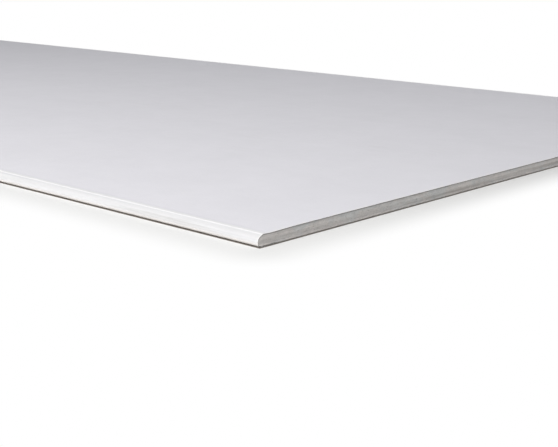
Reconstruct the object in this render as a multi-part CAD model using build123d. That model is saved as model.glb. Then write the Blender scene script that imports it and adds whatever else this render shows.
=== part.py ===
from build123d import *
import math
import os

# A sheet of gypsum plasterboard: a gypsum core between a white face liner and a grey back liner.
# The face liner wraps both long edges and folds on to the back, where the back liner laps over it.
# The two short ends are sawn square, so the core and the liners show there.
# +X runs along the length, +Y across the width and +Z out of the face. The origin is the middle
# of the back, on the plane that the sheet lies on. All sizes are in millimetres.

# Sheet
board_length = 2500.0
board_width = 1200.0
board_thickness = 12.5

# Liners
face_liner_thickness = 0.4
back_liner_thickness = 0.35
flange_width = 25.0  # face liner folded on to the back, measured from the long edge
back_liner_margin = 8.0  # bare strip of the fold, from the long edge to the back liner's edge

# Long edge, seen in section from the back up to the face
back_edge_radius = 3.9
edge_flat_height = 1.0  # upright flat between the back rounding and the bevel's rounding
bevel_width = 7.5  # sloped side from the upright to the ridge, measured across the sheet
bevel_drop = 4.1  # how far that slope falls

# Tapered margin of the face, from the ridge inwards
ridge_radius = 2.0  # softens the ridge, which is level with the field
shoulder_width = 9.5  # slope from the ridge down to the deepest line
shoulder_radius = 20.0  # softens the deepest line
taper_run = 40.0  # slope from the deepest line back up to the field
taper_depth = 0.6

# Sizes that follow
half_width = board_width / 2
ridge_y = half_width - bevel_width
groove_y = ridge_y - shoulder_width
field_y = groove_y - taper_run
groove_z = board_thickness - taper_depth
bevel_foot_z = board_thickness - bevel_drop  # where the slope would meet the upright
bevel_tangent = bevel_foot_z - edge_flat_height - back_edge_radius - back_liner_thickness
bevel_turn = math.pi / 2 - math.atan2(bevel_drop, bevel_width)
bevel_radius = bevel_tangent / math.tan(bevel_turn / 2)


def rounded(section: Sketch, y: float, z: float, radius: float) -> Sketch:
    """The section with its corners at (y, z) and (-y, z) rounded to a radius."""
    corners = [
        corner
        for corner in section.vertices()
        if math.isclose(abs(corner.X), y, abs_tol=1e-6) and math.isclose(corner.Y, z, abs_tol=1e-6)
    ]
    return fillet(corners, radius)


def wrapped_section() -> Sketch:
    """Section of the core in its face liner, which is the whole sheet but for the back liner."""
    right = [
        (field_y, board_thickness),
        (groove_y, groove_z),
        (ridge_y, board_thickness),
        (half_width, bevel_foot_z),
        (half_width, back_liner_thickness),
    ]
    left = [(-y, z) for y, z in reversed(right)]
    section = Sketch() + make_face(Polyline(*right, *left, close=True))
    section = rounded(section, groove_y, groove_z, shoulder_radius)
    section = rounded(section, ridge_y, board_thickness, ridge_radius)
    section = rounded(section, half_width, bevel_foot_z, bevel_radius)
    return rounded(section, half_width, back_liner_thickness, back_edge_radius)


def core_section(wrapped: Sketch) -> Sketch:
    """Section of the gypsum: the wrapped section less its liner, and filled between the two folds."""
    lined = offset(wrapped, amount=-face_liner_thickness)
    between_folds = Rectangle(2 * (half_width - flange_width), face_liner_thickness)
    fill_z = back_liner_thickness + face_liner_thickness / 2
    return lined + Pos(0, fill_z) * between_folds


def back_liner_section() -> Sketch:
    """Section of the back liner, laid flat over the folds of the face liner."""
    strip = Rectangle(2 * (half_width - back_liner_margin), back_liner_thickness)
    return Sketch() + Pos(0, back_liner_thickness / 2) * strip


def along_length(section: Sketch) -> Part:
    """The section, drawn across the width, run along the whole length and cut square."""
    return extrude(Plane.YZ * section, amount=board_length / 2, both=True)


wrapped = wrapped_section()
core = core_section(wrapped)

pieces = {
    "gypsum_core": along_length(core),
    "face_liner": along_length(wrapped - core),
    "back_liner": along_length(back_liner_section()),
}

os.makedirs("parts", exist_ok=True)
for name, piece in pieces.items():
    piece.label = name
    export_step(piece, f"parts/{name}.step")
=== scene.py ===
"""A drywall sheet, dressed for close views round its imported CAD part.

+X runs along the length, +Y across the width and +Z out of the face. The sheet lies on z = 0 with the
middle of its back at the origin. Meshes are in metres. The sizes in the classes are in millimetres, as
in the part's own source, and MM turns one into the other.
"""

import bisect
import logging
import math
from dataclasses import dataclass, field
from enum import Enum
from typing import Callable, Dict, List, Optional, Sequence, Tuple, Union

import bmesh
import bpy
from mathutils import Matrix, Vector, noise


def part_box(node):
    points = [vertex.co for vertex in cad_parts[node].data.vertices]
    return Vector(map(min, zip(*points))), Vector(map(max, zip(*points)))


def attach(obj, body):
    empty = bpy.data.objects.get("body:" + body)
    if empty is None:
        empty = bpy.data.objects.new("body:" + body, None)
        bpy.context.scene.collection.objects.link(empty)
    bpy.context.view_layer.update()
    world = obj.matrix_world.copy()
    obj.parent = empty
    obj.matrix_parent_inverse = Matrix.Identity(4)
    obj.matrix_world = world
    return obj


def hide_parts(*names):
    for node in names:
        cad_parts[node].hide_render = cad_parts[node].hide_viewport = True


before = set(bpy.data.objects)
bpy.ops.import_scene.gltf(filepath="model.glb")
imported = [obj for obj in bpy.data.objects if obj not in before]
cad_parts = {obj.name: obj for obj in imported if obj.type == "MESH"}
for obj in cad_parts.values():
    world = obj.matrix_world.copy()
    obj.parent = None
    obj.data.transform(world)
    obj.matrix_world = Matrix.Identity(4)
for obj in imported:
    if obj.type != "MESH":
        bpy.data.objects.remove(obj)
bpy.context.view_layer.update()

MM = 0.001
JOINED = 1e-7  # points closer than this, in metres, are the same point
SQUARE_ON = 0.7  # a face whose normal has this much of an axis looks along it
LOG = logging.getLogger("drywall_sheet")

Rgb = Tuple[float, float, float]
Point2 = Tuple[float, float]
Point3 = Tuple[float, float, float]
Socket = bpy.types.NodeSocket
Material = bpy.types.Material
BMesh = bmesh.types.BMesh
Feed = Union[Socket, float, Sequence[float]]


class CutEnd(Enum):
    """The two short ends, where the sheet was cut to length. The value is the way that the end faces."""

    NEAR = 1
    FAR = -1


class Slot(Enum):
    """The record's material slots."""

    GYPSUM = "gypsum"
    FACE = "face_paper"
    BACK = "back_paper"


# Shader graphs


class Graph:
    """Adds nodes to one material, group or world, and links them."""

    def __init__(self, tree: bpy.types.NodeTree) -> None:
        """Starts on an empty tree."""
        self.tree = tree
        tree.nodes.clear()

    def add(
        self, kind: str, feeds: Optional[Dict[Union[str, int], Feed]] = None, **settings: object
    ) -> bpy.types.Node:
        """Adds a node.

        Args:
            kind: the node's type, without the leading "ShaderNode".
            feeds: what each input gets, a socket to link or a constant.
            settings: the node's own properties.

        Returns:
            The node.
        """
        made = self.tree.nodes.new(kind if kind.startswith("Node") else "ShaderNode" + kind)
        for name, value in settings.items():
            setattr(made, name, value)
        for key, value in (feeds or {}).items():
            self.feed(made.inputs[key], value)
        return made

    def feed(self, socket: Socket, value: Feed) -> None:
        """Links a socket to an input, or sets the input to a constant.

        Args:
            socket: the input.
            value: the socket or constant that it gets.
        """
        if isinstance(value, Socket):
            self.tree.links.new(value, socket)
        else:
            socket.default_value = value

    def place(self, group: bpy.types.NodeTree, feeds: Dict[str, Feed]) -> bpy.types.bpy_prop_collection:
        """Adds a node group with its inputs fed, and returns its outputs."""
        return self.add("Group", feeds, node_tree=group).outputs

    def math(self, operation: str, first: Feed, second: Feed = 0.0, clamp: bool = False) -> Socket:
        """One step of arithmetic on two values, and its result."""
        return self.add("Math", {0: first, 1: second}, operation=operation, use_clamp=clamp).outputs[0]

    def plus(self, first: Feed, second: Feed, clamp: bool = False) -> Socket:
        """The sum of two values."""
        return self.math("ADD", first, second, clamp)

    def minus(self, first: Feed, second: Feed) -> Socket:
        """A value less another."""
        return self.math("SUBTRACT", first, second)

    def times(self, first: Feed, second: Feed, clamp: bool = False) -> Socket:
        """The product of two values."""
        return self.math("MULTIPLY", first, second, clamp)

    def distance(self, value: Feed, place: Feed) -> Socket:
        """How far a value is from a place, on either side."""
        return self.math("ABSOLUTE", self.minus(value, place))

    def parts(self, vector: Feed) -> bpy.types.bpy_prop_collection:
        """The three parts of a vector."""
        return self.add("SeparateXYZ", {0: vector}).outputs

    def mix(self, share: Feed, low: Feed, high: Feed) -> Socket:
        """Blends two colours.

        Args:
            share: how much of the second one shows.
            low: the first colour.
            high: the second colour.

        Returns:
            The colour.
        """
        low, high = (c if isinstance(c, Socket) else (*c[:3], 1.0) for c in (low, high))
        return self.add("Mix", {0: share, 6: low, 7: high}, data_type="RGBA").outputs[2]

    def tinted(self, colour: Union[Rgb, Socket], tone: Feed) -> Socket:
        """A colour made lighter or darker by a tone about 1."""
        return self.add("VectorMath", {0: colour, "Scale": tone}, operation="SCALE").outputs[0]

    def ramp(self, value: Feed, start: float, end: float, low: Feed = 0.0, high: Feed = 1.0) -> Socket:
        """A smooth step of a value from low at start to high at end."""
        feeds = {"Value": value, "From Min": start, "From Max": end, "To Min": low, "To Max": high}
        return self.add("MapRange", feeds, interpolation_type="SMOOTHSTEP").outputs[0]

    def noise(self, vector: Feed, scale: Feed, detail: float = 3.0, roughness: float = 0.5) -> Socket:
        """A noise value from 0 to 1."""
        feeds = {"Vector": vector, "Scale": scale, "Detail": detail, "Roughness": roughness}
        return self.add("TexNoise", feeds).outputs[0]

    def drawn_noise(
        self,
        vector: Feed,
        scales: Point3,
        detail: float = 3.0,
        roughness: float = 0.5,
        turn: Point3 = (0.0, 0.0, 0.0),
    ) -> Socket:
        """Noise with a scale of its own along each axis, for a pattern that is drawn out along one.

        Args:
            vector: the coordinates.
            scales: the scale along each axis.
            detail: how many finer layers it has.
            roughness: how strong they are.
            turn: how the pattern is turned.

        Returns:
            The value, from 0 to 1.
        """
        drawn = self.add("Mapping", {"Vector": vector, "Rotation": turn, "Scale": scales}).outputs[0]
        return self.noise(drawn, 1.0, detail, roughness)

    def spots(self, vector: Feed, scale: Feed, size: float, share: float) -> Socket:
        """Roundish spots of mixed sizes and depths, scattered one to a cell.

        Args:
            vector: the coordinates.
            scale: cells to the metre.
            size: the largest spot's radius as a share of its cell.
            share: the share of the cells that hold a spot.

        Returns:
            A mask, up to 1 in the middle of a spot.
        """
        cells = self.add("TexVoronoi", {"Vector": vector, "Scale": scale, "Randomness": 1.0})
        chance, bulk, strength = self.add("SeparateColor", {0: cells.outputs["Color"]}).outputs
        chosen = self.math("GREATER_THAN", chance, 1.0 - share)
        depth = self.times(chosen, self.ramp(strength, 0.0, 1.0, 0.35, 1.0))
        radius = self.ramp(bulk, 0.0, 1.0, size * 0.3, size)
        outline = self.ramp(self.noise(vector, self.times(scale, 2.2), 1.0), 0.2, 0.8, 0.55, 1.45)
        away = self.math("DIVIDE", self.times(cells.outputs["Distance"], outline), radius)
        return self.times(self.ramp(away, 1.0, 0.1), depth)


def new_group(
    name: str, takes: Dict[str, str], gives: Sequence[str]
) -> Tuple[Graph, bpy.types.bpy_prop_collection, bpy.types.bpy_prop_collection]:
    """Makes an empty node group.

    Args:
        name: the group's name.
        takes: each input's name, with its socket type.
        gives: the outputs' names, all values.

    Returns:
        The graph, what it takes as sockets to link from, and what it gives as inputs to feed.
    """
    tree = bpy.data.node_groups.new(name, "ShaderNodeTree")
    for label, kind in takes.items():
        tree.interface.new_socket(label, in_out="INPUT", socket_type=kind)
    for label in gives:
        tree.interface.new_socket(label, in_out="OUTPUT", socket_type="NodeSocketFloat")
    graph = Graph(tree)
    return graph, graph.add("NodeGroupInput").outputs, graph.add("NodeGroupOutput").inputs


class SharedEffects:
    """The effects that more than one finish uses, each built once as a node group."""

    VALUE = "NodeSocketFloat"
    VECTOR = "NodeSocketVector"

    def __init__(self) -> None:
        """Builds the groups."""
        self.fibre = self._fibre()
        self.streaks = self._streaks()
        self.specks = self._specks()
        self.scuffs = self._scuffs()
        self.smudge = self._smudge()

    def _fibre(self) -> bpy.types.NodeTree:
        """Paper fibre: a tone about 1 and a height from 0 to 1. Fibres lie mostly along X.

        Returns:
            The group.
        """
        takes = {"Vector": self.VECTOR, "Clouds": self.VALUE, "Fibres": self.VALUE}
        graph, source, result = new_group("paper_fibre", takes, ["Tone", "Height"])
        at = source["Vector"]
        patches = graph.times(graph.noise(at, 9.0, 2.0), 0.45)
        clouds = graph.plus(graph.times(graph.noise(at, 38.0, 4.0, 0.6), 0.55), patches)
        along = graph.drawn_noise(at, (260.0, 1500.0, 1500.0), roughness=0.6)
        across = graph.drawn_noise(at, (900.0, 420.0, 900.0), 2.0, turn=(0.3, 0.2, 0.6))
        height = graph.plus(graph.times(along, 0.62), graph.times(across, 0.38))
        cloud_part = graph.times(graph.minus(clouds, 0.5), source["Clouds"])
        fibre_part = graph.times(graph.minus(height, 0.5), source["Fibres"])
        graph.feed(result["Tone"], graph.plus(graph.plus(cloud_part, fibre_part), 1.0))
        graph.feed(result["Height"], height)
        return graph.tree

    def _streaks(self) -> bpy.types.NodeTree:
        """Long streaks along X, as a mask. Width is how many cross a metre.

        Returns:
            The group.
        """
        takes = {"Vector": self.VECTOR, "Length": self.VALUE, "Width": self.VALUE}
        graph, source, result = new_group("lengthwise_streaks", takes, ["Mask"])
        scales = (source["Length"], source["Width"], source["Width"])
        scaled = [graph.times(part, scale) for part, scale in zip(graph.parts(source["Vector"]), scales)]
        joined = graph.add("CombineXYZ", {i: part for i, part in enumerate(scaled)}).outputs[0]
        graph.feed(result["Mask"], graph.ramp(graph.noise(joined, 1.0, 3.0, 0.55), 0.42, 0.72))
        return graph.tree

    def _specks(self) -> bpy.types.NodeTree:
        """Small dark and light specks of mixed pulp or of grit, as two masks.

        Returns:
            The group.
        """
        takes = {"Vector": self.VECTOR, "Scale": self.VALUE}
        graph, source, result = new_group("pulp_specks", takes, ["Dark", "Light"])
        at, scale = source["Vector"], source["Scale"]
        shifted = graph.add("VectorMath", {0: at, 1: (3.1, 7.7, 1.9)}, operation="ADD").outputs[0]
        graph.feed(result["Dark"], graph.spots(at, scale, 0.17, 0.30))
        graph.feed(result["Light"], graph.spots(shifted, scale, 0.20, 0.35))
        return graph.tree

    def _scuffs(self) -> bpy.types.NodeTree:
        """Faint rub marks of handling, as a mask that is mostly 0.

        Returns:
            The group.
        """
        takes = {"Vector": self.VECTOR, "Amount": self.VALUE}
        graph, source, result = new_group("handling_scuffs", takes, ["Mask"])
        at = source["Vector"]
        where = graph.ramp(graph.noise(at, 3.1, 2.0), 0.56, 0.74)
        strokes = graph.drawn_noise(at, (24.0, 210.0, 60.0), 4.0, 0.65, (0.0, 0.0, 0.45))
        fine = graph.ramp(strokes, 0.52, 0.70)
        graph.feed(result["Mask"], graph.times(graph.times(where, fine), source["Amount"], clamp=True))
        return graph.tree

    def _smudge(self) -> bpy.types.NodeTree:
        """One smudge about a centre, streaked along X and Y, as a mask. Reach is its half-size each way.

        Returns:
            The group.
        """
        takes = {"Vector": self.VECTOR, "Centre": self.VECTOR, "Reach": self.VECTOR}
        graph, source, result = new_group("dirt_and_shade_smudge", takes, ["Mask"])
        at = source["Vector"]
        away = graph.add("VectorMath", {0: at, 1: source["Centre"]}, operation="SUBTRACT").outputs[0]
        share = graph.add("VectorMath", {0: away, 1: source["Reach"]}, operation="DIVIDE").outputs[0]
        distance = graph.add("VectorMath", {0: share}, operation="LENGTH").outputs["Value"]
        ragged = graph.plus(distance, graph.drawn_noise(at, (24.0, 24.0, 300.0)))
        streaks = graph.ramp(graph.drawn_noise(at, (18.0, 18.0, 900.0), roughness=0.6), 0.30, 0.62)
        graph.feed(result["Mask"], graph.times(graph.ramp(ragged, 1.5, 0.6), streaks, clamp=True))
        return graph.tree


# Finishes


def new_material(name: str) -> Tuple[Material, Graph]:
    """Starts a material.

    Args:
        name: the material's name.

    Returns:
        The material and its graph.
    """
    made = bpy.data.materials.new(name)
    made.use_nodes = True
    return made, Graph(made.node_tree)


def end_matt(
    graph: Graph, colour: Socket, roughness: Feed, height: Socket, relief: float, specular: float
) -> None:
    """Ends the graph of a matt material with its bump, its shader and the output.

    Args:
        graph: the material's graph.
        colour: its colour.
        roughness: its roughness.
        height: the height of its fine relief.
        relief: how high 1 stands, in millimetres.
        specular: how strong its shine is.
    """
    bump = graph.add("Bump", {"Strength": 1.0, "Distance": relief * MM, "Height": height})
    look = {"Base Color": colour, "Roughness": roughness, "Normal": bump.outputs[0]}
    surface = graph.add("BsdfPrincipled", {**look, "Specular IOR Level": specular})
    graph.add("OutputMaterial", {"Surface": surface.outputs[0]})


@dataclass(frozen=True)
class Smudge:
    """A streaked smudge, in millimetres, laid as dirt in some places and as painted shade in others."""

    centre: Point3
    reach: Point3
    share: float

    def mask(self, graph: Graph, shared: SharedEffects, at: Socket) -> Socket:
        """Where the smudge lies.

        Args:
            graph: the material's graph.
            shared: the node groups.
            at: the coordinates.

        Returns:
            A mask no higher than the smudge's share.
        """
        centre, reach = ([value * MM for value in values] for values in (self.centre, self.reach))
        outputs = graph.place(shared.smudge, {"Vector": at, "Centre": centre, "Reach": reach})
        return graph.times(outputs["Mask"], self.share)


@dataclass(frozen=True)
class WrappedEdge:
    """The face paper where it wraps the long edges: lengthwise lines, creases and rubbed dirt, with painted
    light and shade: a darker tone on the lit edge, shade along the creases and on the bevel, a highlight
    along the ridge and a paler foot.
    """

    # Darker than the face paper: painted shade that tones down the wrapped edge where the lamps light it
    # most.
    colour: Rgb = (0.704, 0.704, 0.720)
    margin: float = 2.0  # how far past the ridge this look comes in
    ridge: Rgb = (0.865, 0.865, 0.875)  # painted highlight, paler along the ridge
    ridge_reaches: Point3 = (7.4, 1.6, 2.2)  # from nothing to full on the face, and down the bevel
    ridge_share: float = 0.85
    foot: Rgb = (0.815, 0.79, 0.77)  # painted light: paler below, towards the fold, where the rounding turns down from the lamps
    foot_heights: Point2 = (2.6, 5.4)
    # Painted shade along the crease lines.
    crease: Rgb = (0.55, 0.56, 0.59)
    # Dirt; where its streaks and smudges cross the lit bevel it is also painted shade that lowers the tone
    # there.
    grime: Rgb = (0.47, 0.462, 0.45)
    line_swing: float = 0.14
    crease_heights: Tuple[float, ...] = (11.2, 7.1)
    crease_width: float = 0.9
    crease_share: float = 0.42
    streak_share: float = 0.26
    # Rubbed dirt; the smudges across the near edge's bevel are also painted shade there.
    smudges: Tuple[Smudge, ...] = (
        Smudge((1122.0, -599.5, 6.7), (140.0, 8.0, 3.6), 0.50),
        Smudge((880.0, -599.5, 8.6), (120.0, 8.0, 1.8), 0.22),
        Smudge((420.0, -599.5, 6.0), (160.0, 8.0, 2.6), 0.35),
        Smudge((-560.0, 599.5, 6.5), (180.0, 8.0, 2.8), 0.40),
        Smudge((640.0, 599.5, 7.5), (120.0, 8.0, 2.2), 0.35),
    )

    def over(
        self, graph: Graph, shared: SharedEffects, at: Socket, sizes: "SheetSizes", under: Feed
    ) -> Socket:
        """Lays the look of the wrapped edges over the paper's own colour.

        Args:
            graph: the material's graph.
            shared: the node groups.
            at: the coordinates.
            sizes: the sheet's sizes.
            under: the paper's colour.

        Returns:
            The colour.
        """
        _, across, height = graph.parts(at)
        out = graph.math("ABSOLUTE", across)
        where = graph.ramp(out, sizes.ridge_y * MM, (sizes.ridge_y + self.margin) * MM)
        lines = graph.drawn_noise(at, (0.8, 420.0, 420.0), roughness=0.55)
        low, high = self.foot_heights
        colour = graph.mix(graph.ramp(height, high * MM, low * MM), self.colour, self.foot)
        swing = graph.times(graph.minus(lines, 0.5), self.line_swing)
        colour = graph.tinted(colour, graph.plus(swing, 1.0))
        colour = graph.mix(self._creases(graph, at, height), colour, self.crease)
        streaks = graph.place(shared.streaks, {"Vector": at, "Length": 7.0, "Width": 620.0})["Mask"]
        patches = graph.ramp(graph.drawn_noise(at, (5.0, 1.0, 90.0), 2.0), 0.38, 0.66)
        # Dirt streaks, which on the lit bevel are also painted shade.
        dirt = graph.times(graph.times(streaks, patches), self.streak_share)
        for mask in (dirt, *(smudge.mask(graph, shared, at) for smudge in self.smudges)):
            colour = graph.mix(mask, colour, self.grime)
        colour = graph.mix(where, under, colour)
        return graph.mix(self._ridge_highlight(graph, out, height, sizes), colour, self.ridge)

    def _creases(self, graph: Graph, at: Socket, height: Socket) -> Socket:
        """Faint darker lines where the paper was creased to fold round the edge: painted shade of the
        creases.

        Args:
            graph: the material's graph.
            at: the coordinates.
            height: their height.

        Returns:
            A mask.
        """
        total: Feed = 0.0
        for level in self.crease_heights:
            line = graph.ramp(graph.distance(height, level * MM), self.crease_width * MM, 0.0)
            total = graph.math("MAXIMUM", total, line)
        worn = graph.ramp(graph.drawn_noise(at, (6.0, 40.0, 160.0), roughness=0.6), 0.35, 0.70)
        return graph.times(graph.times(total, worn), self.crease_share)

    def _ridge_highlight(self, graph: Graph, out: Socket, height: Socket, sizes: "SheetSizes") -> Socket:
        """Where the painted highlight lies along the ridge.

        Args:
            graph: the material's graph.
            out: how far from the middle line a point is.
            height: its height.
            sizes: the sheet's sizes.

        Returns:
            A mask.
        """
        none, full, down = (reach * MM for reach in self.ridge_reaches)
        past = graph.minus(out, sizes.ridge_y * MM)
        line = graph.times(graph.ramp(past, -none, -full), graph.ramp(past, down, 0.0, 0.0, self.ridge_share))
        return graph.times(line, graph.math("GREATER_THAN", height, sizes.thickness / 2 * MM))


@dataclass(frozen=True)
class Paper:
    """The finish of a liner's paper, on its outer side."""

    name: str
    colour: Rgb
    dark_speck: Rgb
    light_speck: Rgb
    clouds: float
    fibres: float
    specks: float
    streaks: float
    scuffs: float
    grime: Rgb
    rub: Rgb  # worn fibre along the cut ends
    rub_share: float
    relief: float  # height of the fibre, in millimetres
    roughness: float
    specular: float
    rub_width: float = 4.0
    light_share: float = 0.7  # strength of the light specks, as a share of the dark ones'
    scuffed_roughness: float = 0.4
    wrapped: Optional[WrappedEdge] = None

    def material(self, shared: SharedEffects, sizes: "SheetSizes") -> Material:
        """Builds the material.

        Args:
            shared: the node groups.
            sizes: the sheet's sizes, for the wear along its edges.

        Returns:
            The material.
        """
        made, graph = new_material(self.name)
        at = graph.add("TexCoord").outputs["Object"]
        fibre = graph.place(shared.fibre, {"Vector": at, "Clouds": self.clouds, "Fibres": self.fibres})
        specks = graph.place(shared.specks, {"Vector": at, "Scale": 210.0})
        streaks = graph.place(shared.streaks, {"Vector": at, "Length": 0.9, "Width": 34.0})["Mask"]
        scuffs = graph.place(shared.scuffs, {"Vector": at, "Amount": self.scuffs})["Mask"]

        colour = graph.mix(graph.times(streaks, self.streaks), self.colour, (1.0, 1.0, 1.0))
        if self.wrapped:
            colour = self.wrapped.over(graph, shared, at, sizes, colour)
        colour = graph.tinted(colour, fibre["Tone"])
        colour = graph.mix(graph.times(specks["Dark"], self.specks), colour, self.dark_speck)
        light = graph.times(specks["Light"], self.specks * self.light_share)
        colour = graph.mix(light, colour, self.light_speck)
        colour = graph.mix(scuffs, colour, self.grime)
        colour = graph.mix(self._rubbed(graph, at, sizes), colour, self.rub)

        rough = graph.plus(self.roughness, graph.times(scuffs, self.scuffed_roughness), clamp=True)
        end_matt(graph, colour, rough, fibre["Height"], self.relief, self.specular)
        return made

    def _rubbed(self, graph: Graph, at: Socket, sizes: "SheetSizes") -> Socket:
        """Where the paper is worn along the cut ends.

        Args:
            graph: the material's graph.
            at: the coordinates.
            sizes: the sheet's sizes.

        Returns:
            A mask.
        """
        along = graph.math("ABSOLUTE", graph.parts(at)[0])
        near = graph.ramp(along, (sizes.half_length - self.rub_width) * MM, sizes.half_length * MM)
        worn = graph.ramp(graph.drawn_noise(at, (60.0, 45.0, 60.0), roughness=0.6), 0.25, 0.60)
        return graph.times(graph.times(near, worn), self.rub_share)


@dataclass(frozen=True)
class CutPly:
    """The finish of a liner's cut edge, where the plies inside the paper show."""

    name: str
    colour: Rgb
    pale: Rgb
    relief: float = 0.08
    roughness: float = 0.85
    specular: float = 0.2

    def material(self) -> Material:
        """Builds the material.

        Returns:
            The material.
        """
        made, graph = new_material(self.name)
        at = graph.add("TexCoord").outputs["Object"]
        tufts = graph.drawn_noise(at, (400.0, 700.0, 2600.0), 4.0, 0.7)
        colour = graph.mix(graph.ramp(tufts, 0.45, 0.75), self.colour, self.pale)
        end_matt(graph, colour, self.roughness, tufts, self.relief, self.specular)
        return made


@dataclass(frozen=True)
class Gypsum:
    """The finish of the bare gypsum on the cut ends."""

    name: str = "gypsum_bare"
    colour: Rgb = (0.688, 0.656, 0.634)
    cool: Rgb = (0.652, 0.650, 0.642)  # in patches
    # Dark grit, and painted shade in the pores, bubbles and deep pits.
    pit: Rgb = (0.24, 0.225, 0.21)
    dust: Rgb = (0.78, 0.77, 0.76)
    # The colour laid on the darker patches below; on the near end they are painted shade.
    smudge: Rgb = (0.40, 0.365, 0.33)
    dust_share: float = 0.55
    grit_share: float = 0.35
    bubble_share: float = 0.20
    pore_share: float = 0.80
    hollow_share: float = 0.75
    relief: float = 0.24
    roughness: float = 0.92
    specular: float = 0.15
    foot_heights: Point2 = (0.9, 3.4)  # painted light: the plaster is paler beside the back liner, lifting the foot of the cut that the floor leaves in shade
    foot_gain: float = 0.30
    band_height: float = 8.3  # the plaster is denser and paler in a band under the face liner
    band_reach: float = 3.2
    band_gain: float = 0.15
    # Darker streaked patches on the cut ends; those on the near end are painted shade.
    darker_patches: Tuple[Smudge, ...] = (
        Smudge((1250.0, -250.0, 3.5), (20.0, 150.0, 2.4), 0.55),
        Smudge((1250.0, -20.0, 5.2), (20.0, 190.0, 2.8), 0.50),
        Smudge((1250.0, -430.0, 8.6), (20.0, 60.0, 2.6), 0.20),
        Smudge((1250.0, 430.0, 6.0), (20.0, 160.0, 3.4), 0.35),
        Smudge((-1250.0, 150.0, 5.0), (20.0, 240.0, 3.0), 0.45),
    )

    def material(self, shared: SharedEffects) -> Material:
        """Builds the material.

        Args:
            shared: the node groups.

        Returns:
            The material. It reads the mesh's "hollow" attribute of painted shade, which is 0 on the cut and 1
            in its deepest pits and in a line right under the face liner.
        """
        made, graph = new_material(self.name)
        at = graph.add("TexCoord").outputs["Object"]
        hollow = graph.add("Attribute", attribute_name="hollow").outputs["Fac"]
        grain = graph.noise(at, 1700.0, 3.0, 0.7)
        coarse = graph.drawn_noise(at, (420.0, 300.0, 520.0), 2.0, 0.6)
        mottle = graph.drawn_noise(at, (90.0, 90.0, 240.0), 4.0, 0.6)
        drag = graph.drawn_noise(at, (60.0, 22.0, 1100.0), roughness=0.6)
        patches = graph.ramp(graph.drawn_noise(at, (30.0, 30.0, 70.0), 2.0), 0.42, 0.62)
        pores = graph.math("MAXIMUM", graph.spots(at, 420.0, 0.20, 0.30), graph.spots(at, 1500.0, 0.30, 0.45))
        bubbles = graph.spots(at, 3200.0, 0.42, 0.50)
        specks = graph.place(shared.specks, {"Vector": at, "Scale": 430.0})

        tone = self._sum(graph, 1.0, ((grain, 0.36), (coarse, 0.24), (mottle, 0.46), (drag, 0.52)))
        tone = graph.plus(tone, self._foot_light_and_band(graph, at))
        colour = graph.tinted(graph.mix(patches, self.colour, self.cool), tone)
        # The pit colour on pores and bubbles is painted shade; on the dark specks it is grit.
        for mask, share, over in (
            (specks["Light"], self.dust_share, self.dust),
            (specks["Dark"], self.grit_share, self.pit),
            (bubbles, self.bubble_share, self.pit),
            (pores, self.pore_share, self.pit),
        ):
            colour = graph.mix(graph.times(mask, share), colour, over)
        for dark_patch in self.darker_patches:
            colour = graph.mix(dark_patch.mask(graph, shared, at), colour, self.smudge)
        # Painted shade in the deep pits and under the face liner, from the hollow attribute.
        colour = graph.mix(graph.times(hollow, self.hollow_share, clamp=True), colour, self.pit)

        height = self._sum(graph, 0.0, ((grain, 0.5), (coarse, 0.7), (drag, 0.5)))
        height = graph.minus(height, graph.times(pores, 0.45))
        height = graph.minus(height, graph.times(bubbles, 0.3))
        end_matt(graph, colour, self.roughness, height, self.relief, self.specular)
        return made

    def _foot_light_and_band(self, graph: Graph, at: Socket) -> Socket:
        """What the painted light at the foot, and the denser plaster in a band under the face liner, add to
        the tone.

        Args:
            graph: the material's graph.
            at: the coordinates.

        Returns:
            The gain.
        """
        height = graph.parts(at)[2]
        full, none = (level * MM for level in self.foot_heights)
        foot = graph.ramp(height, none, full, 0.0, self.foot_gain)
        off_band = graph.distance(height, self.band_height * MM)
        return graph.plus(foot, graph.ramp(off_band, self.band_reach * MM, 0.0, 0.0, self.band_gain))

    def _sum(self, graph: Graph, base: float, parts: Sequence[Tuple[Socket, float]]) -> Socket:
        """A base value with several noises added, each about its middle.

        Args:
            graph: the material's graph.
            base: the value with no noise.
            parts: each noise with its swing.

        Returns:
            The value.
        """
        total: Feed = base
        for value, swing in parts:
            total = graph.plus(total, graph.times(graph.minus(value, 0.5), swing))
        return total


@dataclass(frozen=True)
class Finishes:
    """Every finish of the sheet."""

    face: Paper = Paper(
        name="face_paper_white",
        colour=(0.806, 0.798, 0.846),
        dark_speck=(0.50, 0.48, 0.46),
        light_speck=(0.88, 0.88, 0.89),
        clouds=0.10,
        fibres=0.13,
        specks=0.22,
        streaks=0.02,
        scuffs=0.10,
        grime=(0.52, 0.49, 0.45),
        rub=(0.86, 0.85, 0.83),
        rub_share=0.7,
        relief=0.07,
        roughness=0.72,
        specular=0.15,
        wrapped=WrappedEdge(),
    )
    back: Paper = Paper(
        name="back_paper_grey",
        colour=(0.47, 0.43, 0.37),
        dark_speck=(0.22, 0.19, 0.16),
        light_speck=(0.66, 0.63, 0.57),
        clouds=0.14,
        fibres=0.22,
        specks=0.6,
        streaks=0.05,
        scuffs=0.25,
        grime=(0.30, 0.27, 0.23),
        rub=(0.58, 0.55, 0.50),
        rub_share=0.5,
        relief=0.06,
        roughness=0.78,
        specular=0.2,
    )
    face_cut: CutPly = CutPly("face_paper_cut_edge", (0.10, 0.094, 0.088), (0.31, 0.295, 0.28))
    back_cut: CutPly = CutPly("back_paper_cut_edge", (0.72, 0.685, 0.64), (0.84, 0.81, 0.77))
    core: Gypsum = Gypsum()


# Sizes


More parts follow.
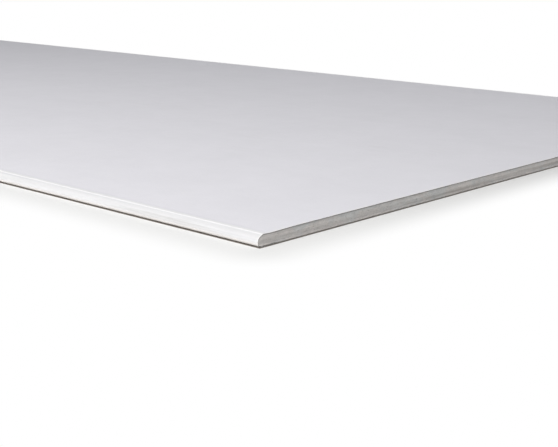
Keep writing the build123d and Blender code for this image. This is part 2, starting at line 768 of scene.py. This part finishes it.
@dataclass(frozen=True)
class SheetSizes:
    """The sheet's sizes in millimetres, with the names that the part's source gives them."""

    half_length: float
    half_width: float
    thickness: float
    face_liner: float = 0.4
    back_liner: float = 0.35
    flange_width: float = 25.0
    back_margin: float = 8.0
    back_radius: float = 3.9
    edge_flat: float = 1.0
    bevel_width: float = 7.5
    bevel_drop: float = 4.1
    ridge_radius: float = 2.0
    shoulder_width: float = 9.5
    shoulder_radius: float = 20.0
    taper_run: float = 40.0
    taper_depth: float = 0.6

    @classmethod
    def from_frame(cls) -> "SheetSizes":
        """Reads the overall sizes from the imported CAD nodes."""
        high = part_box("face_liner")[1] / MM
        return cls(half_length=high.x, half_width=high.y, thickness=high.z)

    @property
    def ridge_y(self) -> float:
        """The ridge between the bevel and the margin."""
        return self.half_width - self.bevel_width

    @property
    def fold_y(self) -> float:
        """The free edge of the fold on the back."""
        return self.half_width - self.flange_width

    @property
    def bevel_foot_z(self) -> float:
        """Where the bevel's slope would meet the upright."""
        return self.thickness - self.bevel_drop

    @property
    def bevel_radius(self) -> float:
        """Rounding between the bevel and the upright flat.

        Returns:
            The radius.
        """
        tangent = self.bevel_foot_z - self.edge_flat - self.back_radius - self.back_liner
        turn = math.pi / 2 - math.atan2(self.bevel_drop, self.bevel_width)
        return tangent / math.tan(turn / 2)

    @property
    def groove_y(self) -> float:
        """Deepest line of the taper."""
        return self.ridge_y - self.shoulder_width

    @property
    def field_y(self) -> float:
        """Where the taper meets the flat field."""
        return self.groove_y - self.taper_run

    @property
    def groove_z(self) -> float:
        """Height of the deepest line."""
        return self.thickness - self.taper_depth


@dataclass(frozen=True)
class SectionCorner:
    """A corner of the wrapped section, before it is rounded."""

    y: float
    z: float
    radius: float = 0.0
    segments: int = 1


def extruded_points(made: Sequence[object]) -> List[bmesh.types.BMVert]:
    """The points among what an extrusion made."""
    return [part for part in made if isinstance(part, bmesh.types.BMVert)]


@dataclass(frozen=True)
class EdgeSection:
    """Half of the wrapped sheet's outline, from the free edge of the fold round to the middle of the face."""

    sizes: SheetSizes
    field_softening: float = 260.0  # radius where the taper meets the field

    def corners(self, inset: float) -> List[SectionCorner]:
        """The outline's corners.

        Args:
            inset: how far the outline lies inside the sheet's outer side.

        Returns:
            The corners in order.
        """
        s = self.sizes
        outer = [
            SectionCorner(s.fold_y, s.back_liner),
            SectionCorner(s.half_width, s.back_liner, s.back_radius - inset, 12),
            SectionCorner(s.half_width, s.bevel_foot_z, s.bevel_radius - inset, 12),
            SectionCorner(s.ridge_y, s.thickness, s.ridge_radius - inset, 6),
            SectionCorner(s.groove_y, s.groove_z, s.shoulder_radius + inset, 4),
            SectionCorner(s.field_y, s.thickness, self.field_softening - inset, 4),
            SectionCorner(0.0, s.thickness),
        ]
        return [self._moved_in(outer, i, inset) for i in range(len(outer))]

    def _moved_in(self, outer: Sequence[SectionCorner], i: int, inset: float) -> SectionCorner:
        """Moves a corner to the left of the way that the outline runs, which keeps its sides parallel.

        Args:
            outer: the corners of the outer side.
            i: which of them.
            inset: how far its sides move.

        Returns:
            The moved corner.
        """
        here = Vector((outer[i].y, outer[i].z))
        sides = []
        for a, b in ((i - 1, i), (i, i + 1)):
            if 0 <= a and b < len(outer):
                way = Vector((outer[b].y - outer[a].y, outer[b].z - outer[a].z)).normalized()
                sides.append(Vector((-way.y, way.x)))
        normal = sum(sides, Vector((0.0, 0.0))).normalized()
        moved = here + normal * (inset / normal.dot(sides[0]))
        return SectionCorner(moved.x, moved.y, outer[i].radius, outer[i].segments)

    def strip(self, bm: BMesh, inset: float) -> None:
        """Builds half of the outline as a strip over the whole length, rounded at its corners.

        Args:
            bm: the mesh to build in.
            inset: how far the strip lies inside the sheet's outer side.
        """
        start, length = -self.sizes.half_length * MM, 2 * self.sizes.half_length * MM
        corners = self.corners(inset)
        points = [bm.verts.new((start, c.y * MM, c.z * MM)) for c in corners]
        edges = [bm.edges.new(pair) for pair in zip(points, points[1:])]
        made = bmesh.ops.extrude_edge_only(bm, edges=edges)["geom"]
        bmesh.ops.translate(bm, verts=extruded_points(made), vec=(length, 0, 0))
        for before, corner, after in zip(corners, corners[1:], corners[2:]):
            self._round(bm, before, corner, after)

    def _round(self, bm: BMesh, before: SectionCorner, corner: SectionCorner, after: SectionCorner) -> None:
        """Rounds the lengthwise edge at one corner.

        Args:
            bm: the mesh.
            before: the corner before it.
            corner: the corner to round.
            after: the corner after it.
        """
        ways = [Vector((b.y - a.y, b.z - a.z)) for a, b in ((before, corner), (corner, after))]
        tangent = corner.radius * math.tan(ways[0].angle(ways[1]) / 2)
        place = Vector((corner.y * MM, corner.z * MM))
        edges = [e for e in bm.edges if all((Vector(v.co.yz) - place).length < JOINED for v in e.verts)]
        bmesh.ops.bevel(
            bm,
            geom=edges,
            offset=tangent * MM,
            offset_type="OFFSET",
            segments=corner.segments,
            profile=0.5,
            affect="EDGES",
            material=-1,
            clamp_overlap=False,
        )

    def outline(self, inset: float) -> List[Point2]:
        """The rounded outline, read from one end of the strip.

        Args:
            inset: how far it lies inside the sheet's outer side.

        Returns:
            Its points in order, in millimetres.
        """
        bm = bmesh.new()
        self.strip(bm, inset)
        at_start = {v for v in bm.verts if v.co.x < 0}
        here = next(v for v in at_start if len(v.link_edges) == 2 and v.co.y * 2 > self.sizes.half_width * MM)
        points = []
        while here:
            points.append(here)
            ahead = {e.other_vert(here) for e in here.link_edges} & at_start - set(points)
            here = ahead.pop() if ahead else None
        outline = [(v.co.y / MM, v.co.z / MM) for v in points]
        bm.free()
        return outline


def ripple(x: float, y: float, z: float) -> float:
    """Smooth noise from 0 to 1."""
    return 0.5 + 0.5 * noise.noise(Vector((x, y, z)))


def crest(x: float, y: float, z: float) -> float:
    """Smooth noise with its lower half cut off: 0 in many places, and up to 1."""
    return max(0.0, noise.noise(Vector((x, y, z))))


@dataclass(frozen=True)
class CutRelief:
    """How rough a cut end is. Depths are in millimetres, back from the plane of the cut.

    A size of two values is a pattern's own, across the width and up the thickness. Each pattern reads
    the noise at a layer of its own, so that no two patterns are alike.
    """

    clearance: float = 0.05
    drag_depth: float = 0.16
    drag_size: Point2 = (34.0, 0.9)
    fine_drag_size: Point2 = (9.0, 0.6)
    fine_drag_share: float = 0.4
    grain_depth: float = 0.14
    grain_size: float = 1.1
    void_depth: float = 0.55
    void_size: float = 0.9
    void_pitch: float = 3.6
    smallest_void: float = 0.35  # as a share of the largest
    empty_share: float = 0.35  # of the places where a void could be
    crumble_depth: float = 0.55
    crumble_width: float = 0.9
    crumble_spread: Point2 = (0.7, 0.9)  # the width's least share, and what a ragged spot adds to it
    crumble_power: float = 0.7
    crumble_size: Point2 = (2.3, 5.0)
    chip_size: Point2 = (11.0, 20.0)
    chip_reach: float = 5.0
    chip_threshold: float = 0.42
    end_shift: float = 40.0  # parts the layers of the two ends

    def depth(self, end: CutEnd, y: float, z: float, to_liner: float) -> float:
        """How deep the surface lies at a point of a cut end.

        Args:
            end: which end.
            y: the point's place across the width.
            z: the point's height.
            to_liner: how far the nearest liner is.

        Returns:
            The depth.
        """
        layer = self.end_shift * end.value
        drag = ripple(y / self.drag_size[0], z / self.drag_size[1], layer)
        fine_drag = ripple(y / self.fine_drag_size[0], z / self.fine_drag_size[1], layer + 7.0)
        grain = ripple(y / self.grain_size, z / self.grain_size, layer + 13.0)
        drag = (1 - self.fine_drag_share) * drag + self.fine_drag_share * fine_drag
        depth = self.clearance + self.drag_depth * drag + self.grain_depth * grain
        depth += self.void_depth * self._void(y, z, layer)
        return depth + self.crumble_depth * self._crumble(y, z, to_liner, layer)

    def _void(self, y: float, z: float, layer: float) -> float:
        """Air voids of the set plaster.

        Args:
            y: the point's place across the width.
            z: the point's height.
            layer: the end's layer of the noise.

        Returns:
            1 in the middle of a void, and 0 outside one.
        """
        distances, points = noise.voronoi(Vector((y / self.void_pitch, z / self.void_pitch, layer)))
        pick = noise.cell(points[0] * 7.3)
        share = self.smallest_void + (1 - self.smallest_void) * pick
        size = self.void_size / self.void_pitch * share
        if pick < self.empty_share or distances[0] >= size:
            return 0.0
        return math.sqrt(1.0 - (distances[0] / size) ** 2)

    def _crumble(self, y: float, z: float, to_liner: float, layer: float) -> float:
        """How far the plaster has crumbled away beside a liner.

        Args:
            y: the point's place across the width.
            z: the point's height.
            to_liner: how far the nearest liner is.
            layer: the end's layer of the noise.

        Returns:
            1 at the liner, and 0 where the plaster is whole.
        """
        ragged = crest(y / self.crumble_size[0], z / self.crumble_size[1], layer + 21.0)
        chip = crest(y / self.chip_size[0], z / self.chip_size[1], layer + 33.0) - self.chip_threshold
        least, added = self.crumble_spread
        reach = self.crumble_width * (least + added * ragged) + self.chip_reach * max(0.0, chip)
        return max(0.0, 1.0 - to_liner / reach) ** self.crumble_power


# Pieces of the sheet


def put_in_scene(name: str, data: bpy.types.ID) -> bpy.types.Object:
    """Makes an object and links it to the scene.

    Args:
        name: the object's name.
        data: its mesh, lamp or camera.

    Returns:
        The object.
    """
    made = bpy.data.objects.new(name, data)
    bpy.context.scene.collection.objects.link(made)
    return made


def finished_mesh(name: str, bm: BMesh, materials: Sequence[Material]) -> bpy.types.Mesh:
    """Turns a bmesh into a mesh.

    Args:
        name: the mesh's name.
        bm: the bmesh, which is freed.
        materials: the materials in order.

    Returns:
        The mesh.
    """
    mesh = bpy.data.meshes.new(name)
    bm.to_mesh(mesh)
    bm.free()
    for material in materials:
        mesh.materials.append(material)
    return mesh


def make_piece(
    name: str, bm: BMesh, materials: Sequence[Material], node: str, sharp: float = 30.0
) -> bpy.types.Object:
    """Turns a bmesh into a piece that stands for a CAD node.

    Args:
        name: the piece's name.
        bm: its mesh, which is freed.
        materials: its materials in order.
        node: the CAD node that it stands for.
        sharp: edges that turn by more than this many degrees stay sharp.

    Returns:
        The piece.
    """
    for face in bm.faces:
        face.smooth = True
    for edge in bm.edges:
        edge.smooth = edge.calc_face_angle(math.pi) < math.radians(sharp)
    piece = put_in_scene(name, finished_mesh(name, bm, materials))
    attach(piece, "root")
    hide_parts(node)
    LOG.info("%s: %d faces, stands for %s", name, len(piece.data.polygons), node)
    return piece


def pull_out(bm: BMesh, way: Point3) -> None:
    """Extrudes an open mesh into a closed block.

    Args:
        bm: the mesh.
        way: how far and which way, in metres.
    """
    made = bmesh.ops.extrude_face_region(bm, geom=bm.faces[:])["geom"]
    bmesh.ops.translate(bm, verts=extruded_points(made), vec=way)
    bmesh.ops.recalc_face_normals(bm, faces=bm.faces[:])


def cut_steps(bm: BMesh, pitch: float, along: Callable[[bmesh.types.BMEdge], bool]) -> None:
    """Divides some edges into steps of a given length.

    Args:
        bm: the mesh.
        pitch: the longest step, in millimetres.
        along: picks the edges.
    """
    by_count: Dict[int, List[bmesh.types.BMEdge]] = {}
    for edge in bm.edges:
        cuts = math.ceil(edge.calc_length() / MM / pitch - 1e-3) - 1
        if cuts > 0 and along(edge):
            by_count.setdefault(cuts, []).append(edge)
    for cuts, edges in by_count.items():
        bmesh.ops.subdivide_edges(bm, edges=edges, cuts=cuts, use_grid_fill=True)


def cut_across(bm: BMesh, places: Sequence[float]) -> None:
    """Cuts a mesh by planes across the length.

    Args:
        bm: the mesh.
        places: where, in millimetres along X.
    """
    for x in places:
        geom = [*bm.verts, *bm.edges, *bm.faces]
        bmesh.ops.bisect_plane(bm, geom=geom, dist=1e-8, plane_co=(x * MM, 0, 0), plane_no=(1, 0, 0))


@dataclass
class FaceLiner:
    """The white face paper: one strip over the face, round both long edges and folded on to the back."""

    sizes: SheetSizes
    section: EdgeSection
    width_pitch: float = 1.6
    length_pitch: float = 125.0
    end_clearance: float = 10.0  # the regular cuts across keep this far from the ends
    near_end: Tuple[float, ...] = (0.35, 0.9, 1.8)  # extra cuts, this far from each end
    fray: float = 0.22  # how far the cut edge wanders back
    fray_size: float = 5.0
    tuft_size: float = 1.7
    tuft_share: float = 0.35
    dip: float = 0.14  # how far the knife pressed the cut edge down

    def build(self, finishes: Finishes, shared: SharedEffects) -> bpy.types.Object:
        """Builds the liner.

        Args:
            finishes: the sheet's finishes.
            shared: the node groups.

        Returns:
            The piece.
        """
        bm = bmesh.new()
        self.section.strip(bm, 0.0)
        bmesh.ops.mirror(bm, geom=[*bm.verts, *bm.edges, *bm.faces], axis="Y", merge_dist=JOINED)
        cut_steps(bm, self.width_pitch, lambda e: abs(e.verts[0].co.x - e.verts[1].co.x) < JOINED)
        cut_across(bm, self._stations())
        self._face_out(bm)
        bmesh.ops.solidify(bm, geom=bm.faces[:], thickness=self.sizes.face_liner * MM)
        self._wear(bm)
        self._mark_cut(bm)
        materials = [finishes.face.material(shared, self.sizes), finishes.face_cut.material()]
        return make_piece("face_paper_wrap", bm, materials, "face_liner")

    def _stations(self) -> List[float]:
        """Places along the length to cut across at: a regular pitch, and a few close to each end.

        Returns:
            The places in order.
        """
        half = self.sizes.half_length
        count = int(half // self.length_pitch)
        regular = [i * self.length_pitch for i in range(-count, count + 1)]
        clear = [x for x in regular if abs(x) < half - self.end_clearance]
        extra = [side * (half - d) for d in self.near_end for side in (-1, 1)]
        return sorted({*clear, *extra})

    def _face_out(self, bm: BMesh) -> None:
        """Turns every face of the open strip outwards.

        Args:
            bm: the strip.
        """
        bmesh.ops.recalc_face_normals(bm, faces=bm.faces[:])
        middle = min(bm.faces, key=lambda f: abs(f.calc_center_median().y))
        if middle.normal.z < 0:
            bmesh.ops.reverse_faces(bm, faces=bm.faces[:])

    def _wear(self, bm: BMesh) -> None:
        """Lets the two cut edges wander, and presses them a little towards the core.

        Args:
            bm: the liner.
        """
        half = self.sizes.half_length * MM
        reach = max(self.near_end) * MM
        middle_z = self.sizes.thickness / 2 * MM
        for v in bm.verts:
            from_end = half - abs(v.co.x)
            if from_end > reach:
                continue
            side = math.copysign(1.0, v.co.x)
            y, z = v.co.y / MM, v.co.z / MM
            near = 1.0 - from_end / reach
            wander = ripple(y / self.fray_size, z / self.fray_size, side * 9.0)
            tuft = crest(y / self.tuft_size, z / self.tuft_size, side * 17.0)
            v.co.x -= side * near * self.fray * MM * ((1 - self.tuft_share) * wander + self.tuft_share * tuft)
            if abs(y) < self.sizes.ridge_y and v.co.z > middle_z:
                v.co.z -= self.dip * MM * near * near

    def _mark_cut(self, bm: BMesh) -> None:
        """Gives the edges of the paper, at the cut ends and along the folds, the look of cut plies.

        Args:
            bm: the liner.
        """
        bm.normal_update()
        fold_y = self.sizes.fold_y * MM
        half = self.sizes.half_length * MM
        for face in bm.faces:
            centre = face.calc_center_median()
            at_end = abs(face.normal.x) > SQUARE_ON and abs(centre.x) > half - 1.0 * MM
            at_fold = abs(face.normal.y) > SQUARE_ON and abs(abs(centre.y) - fold_y) < 0.01 * MM
            face.material_index = 1 if at_end or at_fold else 0


@dataclass
class GypsumCore:
    """The gypsum slab. Only its two cut ends show."""

    sizes: SheetSizes
    section: EdgeSection
    relief: CutRelief = field(default_factory=CutRelief)
    width_pitch: float = 0.7
    closest: float = 0.12  # columns are no closer together than this
    fold_clearance: float = 0.01  # the step on to the fold is this wide
    rows: int = 24
    crowding: float = 0.6  # how far the rows crowd towards the liners
    foot_firmness: Point2 = (6.0, 0.6)  # plaster beside the back liner crumbles as if further from it
    edge_firmness: float = 1.2
    hollow_depths: Point2 = (0.3, 0.6)  # painted shade in the pits: where it begins, and how much deeper it is darkest
    shade_line_depth: float = 1.2  # painted shade: the plaster is darkened in a line just under the face liner
    shade_line_share: float = 0.9

    def build(self, finishes: Finishes, shared: SharedEffects) -> bpy.types.Object:
        """Builds the slab.

        Args:
            finishes: the sheet's finishes.
            shared: the node groups.

        Returns:
            The piece.
        """
        outline = self.section.outline(self.sizes.face_liner)
        lower, upper = self._branches(outline)
        stations = self._stations(outline)
        columns = len(stations) - 1
        start = -self.sizes.half_length * MM
        bm = bmesh.new()
        bmesh.ops.create_grid(bm, x_segments=columns, y_segments=self.rows, size=0.5)
        for v in bm.verts:
            y = stations[round((v.co.x + 0.5) * columns)]
            share = v.co.y + 0.5
            share += self.crowding * ((1.0 - math.cos(math.pi * share)) / 2 - share)
            low, high = self._height(lower, abs(y)), self._height(upper, abs(y))
            v.co = Vector((start, y * MM, (low + (high - low) * share) * MM))
        pull_out(bm, (-2 * start, 0, 0))
        self._roughen(bm, lower, upper)
        return make_piece(
            "gypsum_slab", bm, [finishes.core.material(shared)], "gypsum_core", sharp=50.0
        )

    def _branches(self, outline: Sequence[Point2]) -> Tuple[List[Point2], List[Point2]]:
        """Splits the outline into its lower and its upper side.

        Args:
            outline: half of the core's outline, from the fold round to the middle of the face.

        Returns:
            The two sides, each as points of growing y.
        """
        widest = max(y for y, _ in outline)
        on_flat = [i for i, (y, _) in enumerate(outline) if y > widest - 1e-4]
        back = self.sizes.back_liner
        between_folds = [(0.0, back), (self.sizes.fold_y - self.fold_clearance, back)]
        return between_folds + list(outline[: on_flat[0] + 1]), list(reversed(outline[on_flat[-1] :]))

    def _stations(self, outline: Sequence[Point2]) -> List[float]:
        """Places across the width where the ends have a column of points.

        Args:
            outline: half of the core's outline.

        Returns:
            The places, from one long edge to the other.
        """
        corners = {round(y, 3) for y, _ in outline if y > 1.0}
        widest = max(corners)
        regular = [i * self.width_pitch for i in range(int(widest // self.width_pitch) + 1)]
        places = [0.0]
        for y in sorted([*regular, *corners, self.sizes.fold_y - self.fold_clearance]):
            if y - places[-1] > self.closest or y == widest:
                places.append(y)
        return [-y for y in reversed(places[1:])] + places

    def _height(self, branch: Sequence[Point2], y: float) -> float:
        """Height of one side of the outline at a place across the width.

        Args:
            branch: the side.
            y: the place.

        Returns:
            The height.
        """
        at = min(max(bisect.bisect_left([p[0] for p in branch], y), 1), len(branch) - 1)
        (y0, z0), (y1, z1) = branch[at - 1], branch[at]
        share = 0.0 if y1 - y0 < 1e-9 else min(1.0, max(0.0, (y - y0) / (y1 - y0)))
        return z0 + (z1 - z0) * share

    def _roughen(self, bm: BMesh, lower: Sequence[Point2], upper: Sequence[Point2]) -> None:
        """Cuts the relief into both ends, and keeps the painted shade of its pits and of a line under the
        face liner as an attribute.

        Args:
            bm: the slab.
            lower: the lower side of its outline.
            upper: the upper side of its outline.
        """
        hollow = bm.verts.layers.float.new("hollow")
        widest = upper[-1][0]
        steepness, start = self.foot_firmness
        shallow, deeper = self.hollow_depths
        for v in bm.verts:
            end = CutEnd.NEAR if v.co.x > 0 else CutEnd.FAR
            y, z = v.co.y / MM, v.co.z / MM
            low, high = self._height(lower, abs(y)), self._height(upper, abs(y))
            to_edge = (widest - abs(y)) * self.edge_firmness
            depth = self.relief.depth(end, y, z, min((z - low) * steepness + start, high - z, to_edge))
            v.co.x -= end.value * depth * MM
            # Painted shade in a line under the face liner.
            lip = self.shade_line_share * (1.0 - (high - z) / self.shade_line_depth)
            v[hollow] = min(1.0, max(0.0, lip, (depth - shallow) / deeper))


@dataclass
class BackLiner:
    """The grey back paper, laid flat over the folds of the face paper."""

    sizes: SheetSizes
    width_pitch: float = 2.0
    length_pitch: float = 50.0
    rim: float = 0.5  # points this close to an edge lie on it
    fray: float = 0.25
    fray_size: float = 4.0
    wander: float = 0.35  # how far the lapped edges leave a straight line
    wander_size: float = 170.0

    def build(self, finishes: Finishes, shared: SharedEffects) -> bpy.types.Object:
        """Builds the liner.

        Args:
            finishes: the sheet's finishes.
            shared: the node groups.

        Returns:
            The piece.
        """
        half_x, half_y = self.sizes.half_length, self.sizes.half_width - self.sizes.back_margin
        columns, rows = round(2 * half_x / self.length_pitch), round(2 * half_y / self.width_pitch)
        bm = bmesh.new()
        bmesh.ops.create_grid(bm, x_segments=columns, y_segments=rows, size=0.5)
        bmesh.ops.scale(bm, verts=bm.verts[:], vec=(2 * half_x * MM, 2 * half_y * MM, 1.0))
        for v in bm.verts:
            x, y = v.co.x / MM, v.co.y / MM
            if half_x - abs(x) < self.rim:
                side = math.copysign(1.0, x)
                v.co.x -= side * self.fray * MM * ripple(y / self.fray_size, side * 5.0, 2.0)
            if half_y - abs(y) < self.rim:
                place = Vector((x / self.wander_size, math.copysign(5.0, y), 8.0))
                v.co.y += self.wander * MM * noise.noise(place)
        pull_out(bm, (0, 0, self.sizes.back_liner * MM))
        bm.normal_update()
        for face in bm.faces:
            face.material_index = 0 if abs(face.normal.z) > SQUARE_ON else 1
        materials = [finishes.back.material(shared, self.sizes), finishes.back_cut.material()]
        return make_piece("back_paper_sheet", bm, materials, "back_liner")


# Studio


@dataclass(frozen=True)
class Softbox:
    """A soft lamp."""

    name: str
    place: Point3
    aim: Point3
    size: Point2
    power: float
    colour: Rgb = (1.0, 1.0, 1.0)

    def light(self) -> bpy.types.Object:
        """Adds the lamp to the scene.

        Returns:
            The lamp.
        """
        data = bpy.data.lights.new(self.name, "AREA")
        data.shape = "RECTANGLE"
        data.size, data.size_y = self.size
        data.energy = self.power
        data.color = self.colour
        lamp = put_in_scene(self.name, data)
        lamp.location = self.place
        lamp.rotation_mode = "QUATERNION"
        lamp.rotation_quaternion = (Vector(self.aim) - Vector(self.place)).to_track_quat("-Z", "Y")
        return lamp


@dataclass(frozen=True)
class PhotoCamera:
    """The photograph's camera. Angles are in degrees, the place in metres."""

    place: Point3 = (1.9093, -1.3078, 0.2640)
    turn: float = 41.80  # to the left of +Y
    down: float = 13.93
    roll: float = 0.75
    lens: float = 68.48
    sensor: float = 36.0
    clip: Point2 = (0.01, 200.0)

    def build(self) -> bpy.types.Object:
        """Adds the camera and makes it the scene's.

        Returns:
            The camera.
        """
        turn, down, roll = (math.radians(a) for a in (self.turn, self.down, self.roll))
        ahead = Vector((-math.sin(turn) * math.cos(down), math.cos(turn) * math.cos(down), -math.sin(down)))
        right = Vector((math.cos(turn), math.sin(turn), 0.0))
        up = right.cross(ahead)
        rolled_right = right * math.cos(roll) + up * math.sin(roll)
        rolled_up = up * math.cos(roll) - right * math.sin(roll)
        data = bpy.data.cameras.new("photo_camera")
        data.lens, data.sensor_width = self.lens, self.sensor
        data.sensor_fit = "HORIZONTAL"
        data.clip_start, data.clip_end = self.clip
        camera = put_in_scene("photo_camera", data)
        axes = Matrix((rolled_right, rolled_up, -ahead)).transposed().to_4x4()
        camera.matrix_world = Matrix.Translation(self.place) @ axes
        bpy.context.scene.camera = camera
        return camera


@dataclass
class Studio:
    """A pale floor, a white background and soft lamps."""

    WHITE = (1.0, 1.0, 1.0, 1.0)

    sizes: SheetSizes
    floor_colour: Rgb = (0.88, 0.88, 0.88)
    contact_shadow_colour: Rgb = (0.24, 0.215, 0.195)  # painted shadow under the sheet, for the gap below its rounded edges
    end_line: Point2 = (1.4, 3.6)  # where the painted shadow begins and stops fading, out from the ends
    edge_line: float = 0.3  # where the painted shadow stops fading, out from the long edges
    opening_margins: Point2 = (1.0, 6.0)  # the floor is open under the sheet, so that its back is lit
    floor_half: float = 60.0  # metres, as the next three are
    floor_drop: float = 0.0002
    fade_start: float = 0.005
    fade_end: float = 0.07
    ambient: float = 0.315
    ambient_below: float = 0.85
    ambient_colour: Rgb = (0.97, 0.985, 1.0)
    horizon: Point2 = (-0.1, 0.0)  # where the light from below gives way to the light from above
    lamps: Tuple[Softbox, ...] = (
        Softbox("key_softbox", (0.90, -3.18, 2.77), (1.95, -2.0, 0.0), (1.4, 0.8), 134.0, (1.0, 0.99, 0.97)),
        Softbox("low_softbox", (0.60, -2.60, 0.45), (1.00, -0.6, 0.0), (2.4, 0.5), 5.0, (1.0, 0.99, 0.97)),
    )

    def build(self) -> None:
        """Adds the floor, the world and the lamps."""
        self._floor()
        self._world()
        for lamp in self.lamps:
            lamp.light()

    def _floor(self) -> None:
        """Adds the floor, a wide square with an opening under the sheet."""
        bm = bmesh.new()
        bmesh.ops.create_grid(bm, x_segments=3, y_segments=3, size=self.floor_half)
        halves = (self.sizes.half_length, self.sizes.half_width)
        for v in bm.verts:
            for axis, (half, margin) in enumerate(zip(halves, self.opening_margins)):
                if abs(v.co[axis]) < self.floor_half / 2:
                    v.co[axis] = math.copysign((half - margin) * MM, v.co[axis])
            v.co.z = -self.floor_drop
        middle = min(bm.faces, key=lambda f: f.calc_center_median().length)
        bmesh.ops.delete(bm, geom=[middle], context="FACES")
        put_in_scene("floor", finished_mesh("floor", bm, [self._floor_material()]))

    def _floor_material(self) -> Material:
        """Pale and matt by the sheet, where it takes the shadow, and white further out. Clear from below.

        Returns:
            The material.
        """
        made, graph = new_material("floor_pale")
        beyond = [
            graph.math("MAXIMUM", graph.minus(graph.math("ABSOLUTE", part), half * MM), 0.0)
            for part, half in zip(
                graph.parts(graph.add("TexCoord").outputs["Object"]),
                (self.sizes.half_length, self.sizes.half_width),
            )
        ]
        joined = graph.add("CombineXYZ", {0: beyond[0], 1: beyond[1]}).outputs[0]
        away = graph.add("VectorMath", {0: joined}, operation="LENGTH").outputs["Value"]
        white = graph.times(graph.ramp(away, self.fade_start, self.fade_end), self._seen(graph))
        matt = graph.add("BsdfDiffuse", {"Color": self._shaded(graph, *beyond)})
        glow = graph.add("Emission", {"Color": self.WHITE, "Strength": 1.0})
        above = graph.add("MixShader", {0: white, 1: matt.outputs[0], 2: glow.outputs[0]})
        clear = graph.add("BsdfTransparent")
        from_below = graph.add("NewGeometry").outputs["Backfacing"]
        both = graph.add("MixShader", {0: from_below, 1: above.outputs[0], 2: clear.outputs[0]})
        graph.add("OutputMaterial", {"Surface": both.outputs[0]})
        return made

    def _shaded(self, graph: Graph, past_end: Socket, past_edge: Socket) -> Socket:
        """The floor's colour, with a thin painted shadow round the sheet for the gap below it.

        Args:
            graph: the material's graph.
            past_end: how far a point lies beyond the cut ends.
            past_edge: how far it lies beyond the long edges.

        Returns:
            The colour. In front of the ends only the camera sees the line, and no light is lost to it.
        """
        start, end = (value * MM for value in self.end_line)
        not_camera = graph.minus(1.0, graph.add("LightPath").outputs["Is Camera Ray"])
        bounced = graph.times(graph.math("GREATER_THAN", past_end, 0.0), not_camera)
        plain = graph.math("MAXIMUM", graph.ramp(past_end, start, end), bounced)
        plain = graph.math("MAXIMUM", plain, graph.ramp(past_edge, 0.0, self.edge_line * MM))
        return graph.mix(plain, self.contact_shadow_colour, self.floor_colour)

    def _seen(self, graph: Graph) -> Socket:
        """Picks the rays that show the background: from the camera, in gloss and through glass.

        Args:
            graph: the graph of the material or world.

        Returns:
            1 for those rays, and 0 for the others.
        """
        path = graph.add("LightPath").outputs
        gloss = graph.math("MAXIMUM", path["Is Camera Ray"], path["Is Glossy Ray"])
        return graph.math("MAXIMUM", gloss, path["Is Transmission Ray"])

    def _world(self) -> None:
        """Makes the world white where it is seen, and an even soft light on the object."""
        world = bpy.data.worlds.new("studio_world")
        world.use_nodes = True
        graph = Graph(world.node_tree)
        height = graph.parts(graph.add("TexCoord").outputs["Generated"])[2]
        strength = graph.ramp(height, *self.horizon, self.ambient_below, self.ambient)
        light = graph.add("Background", {"Color": (*self.ambient_colour, 1.0), "Strength": strength})
        white = graph.add("Background", {"Color": self.WHITE, "Strength": 1.0})
        mixed = graph.add("MixShader", {0: self._seen(graph), 1: light.outputs[0], 2: white.outputs[0]})
        graph.add("OutputWorld", {"Surface": mixed.outputs[0]})
        bpy.context.scene.world = world


def main() -> None:
    """Builds the camera, the sheet and the studio."""
    logging.basicConfig(level=logging.INFO, format="%(name)s: %(message)s")
    bpy.context.scene.view_settings.view_transform = "Standard"
    PhotoCamera().build()
    sizes = SheetSizes.from_frame()
    section = EdgeSection(sizes)
    shared = SharedEffects()
    finishes = Finishes()
    GypsumCore(sizes, section).build(finishes, shared)
    FaceLiner(sizes, section).build(finishes, shared)
    BackLiner(sizes).build(finishes, shared)
    Studio(sizes).build()


if __name__ == "__main__":
    main()
